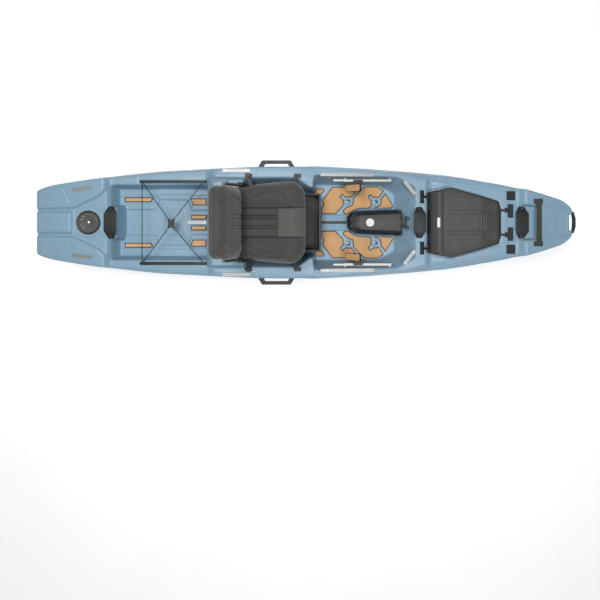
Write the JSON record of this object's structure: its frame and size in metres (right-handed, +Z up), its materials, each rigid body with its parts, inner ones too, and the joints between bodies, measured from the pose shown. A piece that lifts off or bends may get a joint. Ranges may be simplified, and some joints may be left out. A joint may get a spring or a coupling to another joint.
{
  "type": "pedal kayak",
  "caption": "Sit-on-top pedal kayak with swivel seat, steering rudder, toe pedals, console pod, bow hatch and tankwell.",
  "frame": {"origin": "centre of the bounding box in plan, at the tip of the lowered rudder", "axes": "+X to the bow, +Y to port, +Z up"},
  "size_m": [3.89, 0.907, 1.176],
  "materials": {
    "hull_plastic": "satin",
    "aluminium": "satin",
    "steel": "satin",
    "black_plastic": "matte",
    "grey_plastic": "matte",
    "rubber": "matte",
    "pad_foam": "matte",
    "seat_fabric": "matte",
    "brass": "satin",
    "alu_black": "satin"
  },
  "bodies": {
    "hull": {"deck_aft": "hull_plastic", "deck_middle": "hull_plastic", "deck_footwell": "hull_plastic", "deck_forward": "hull_plastic", "hull_lower": "hull_plastic", "rudder_trunk": "hull_plastic", "tracks_port": "aluminium", "tracks_starboard": "aluminium", "track_tankwell": "aluminium", "track_screws": "steel", "bungee_rails": "black_plastic", "bungee_hub": "black_plastic", "bungee_cords": "rubber", "floor_pads": "pad_foam", "tankwell_pads": "pad_foam", "grab_handle_stern": "black_plastic", "grab_handle_riser": "black_plastic", "grab_handle_midships": "black_plastic", "grab_handle_bow": "black_plastic", "carry_handle_port": "black_plastic", "carry_handle_starboard": "black_plastic", "paddle_keepers": "rubber", "bow_handle": "black_plastic", "bow_strap": "rubber", "rod_tip_cups": "black_plastic", "threaded_inserts": "brass", "skid_plate": "black_plastic", "hatch_gasket": "rubber", "hatch_coaming": "black_plastic", "hatch_hinges": "black_plastic", "pod_tub": "black_plastic", "pod_hinge": "black_plastic", "console_track": "alu_black", "drawer_frame": "black_plastic", "foot_rail_port": "aluminium", "foot_rail_starboard": "aluminium", "seat_frame": "alu_black", "frame_knobs": "black_plastic"},
    "hatch_lid": {"hatch_lid": "grey_plastic"},
    "hatch_latch_port": {"hatch_latch_port": "rubber"},
    "hatch_latch_starboard": {"hatch_latch_starboard": "rubber"},
    "pod_lid": {"pod_lid": "grey_plastic"},
    "pod_latch": {"pod_latch": "black_plastic"},
    "console_slider": {"console_slider": "black_plastic"},
    "seat_drawer": {"seat_drawer": "black_plastic"},
    "foot_carriage_port": {"foot_carriage_port": "black_plastic"},
    "foot_carriage_starboard": {"foot_carriage_starboard": "black_plastic"},
    "toe_pedal_port": {"toe_pedal_port": "black_plastic"},
    "toe_pedal_starboard": {"toe_pedal_starboard": "black_plastic"},
    "seat_slide": {"seat_slide": "black_plastic"},
    "seat": {"swivel_top": "black_plastic", "seat_pan": "black_plastic", "seat_cushion": "seat_fabric"},
    "backrest": {"backrest_shell": "black_plastic", "back_cushion": "seat_fabric"},
    "rudder_turret": {"rudder_turret": "grey_plastic"},
    "rudder_blade": {"rudder_blade": "grey_plastic"}
  },
  "joints": [
    {"name": "hatch_lid_hinge", "type": "hinge", "parent": "hull", "child": "hatch_lid", "pos_m": [1.438, 0, 0.592], "axis": [0, 1, 0], "range_deg": [0, 100]},
    {"name": "hatch_latch_port_lift", "type": "hinge", "parent": "hatch_lid", "child": "hatch_latch_port", "pos_m": [0.884, 0.189, 0.54], "axis": [0, 1, 0], "range_deg": [0, 95]},
    {"name": "hatch_latch_starboard_lift", "type": "hinge", "parent": "hatch_lid", "child": "hatch_latch_starboard", "pos_m": [0.884, -0.189, 0.54], "axis": [0, 1, 0], "range_deg": [0, 95]},
    {"name": "pod_lid_hinge", "type": "hinge", "parent": "hull", "child": "pod_lid", "pos_m": [0.742, 0, 0.468], "axis": [0, 1, 0], "range_deg": [0, 105]},
    {"name": "pod_latch_lift", "type": "hinge", "parent": "pod_lid", "child": "pod_latch", "pos_m": [0.336, 0, 0.46], "axis": [0, 1, 0], "range_deg": [0, 110]},
    {"name": "console_slider_slide", "type": "slide", "parent": "hull", "child": "console_slider", "axis": [1, 0, 0], "range_m": [-0.13, 0]},
    {"name": "drawer_slide", "type": "slide", "parent": "hull", "child": "seat_drawer", "axis": [1, 0, 0], "range_m": [0, 0.18]},
    {"name": "foot_brace_port_slide", "type": "slide", "parent": "hull", "child": "foot_carriage_port", "axis": [1, 0, 0], "range_m": [-0.035, 0.205]},
    {"name": "foot_brace_starboard_slide", "type": "slide", "parent": "hull", "child": "foot_carriage_starboard", "axis": [1, 0, 0], "range_m": [-0.035, 0.205]},
    {"name": "toe_pedal_port_tilt", "type": "hinge", "parent": "foot_carriage_port", "child": "toe_pedal_port", "pos_m": [0.36, 0.2545, 0.476], "axis": [0, 1, 0], "range_deg": [-14, 14]},
    {"name": "toe_pedal_starboard_tilt", "type": "hinge", "parent": "foot_carriage_starboard", "child": "toe_pedal_starboard", "pos_m": [0.36, -0.2545, 0.476], "axis": [0, 1, 0], "range_deg": [-14, 14]},
    {"name": "seat_slide_travel", "type": "slide", "parent": "hull", "child": "seat_slide", "axis": [1, 0, 0], "range_m": [-0.06, 0.06]},
    {"name": "seat_swivel", "type": "hinge", "parent": "seat_slide", "child": "seat", "pos_m": [-0.284, 0, 0.634], "axis": [0, 0, 1], "continuous": true},
    {"name": "backrest_fold", "type": "hinge", "parent": "seat", "child": "backrest", "pos_m": [-0.443, 0, 0.777], "axis": [0, 1, 0], "range_deg": [0, 70]},
    {"name": "rudder_steer", "type": "hinge", "parent": "hull", "child": "rudder_turret", "pos_m": [-1.571, 0, 0.546], "axis": [0, 0, 1], "range_deg": [-35, 35]},
    {"name": "rudder_lift", "type": "slide", "parent": "rudder_turret", "child": "rudder_blade", "axis": [0, 0, 1], "range_m": [0, 0.186]}
  ],
  "couplings": [
    {"joint": "toe_pedal_port_tilt", "follows": "rudder_steer", "ratio": 0.4},
    {"joint": "toe_pedal_starboard_tilt", "follows": "rudder_steer", "ratio": -0.4}
  ]
}
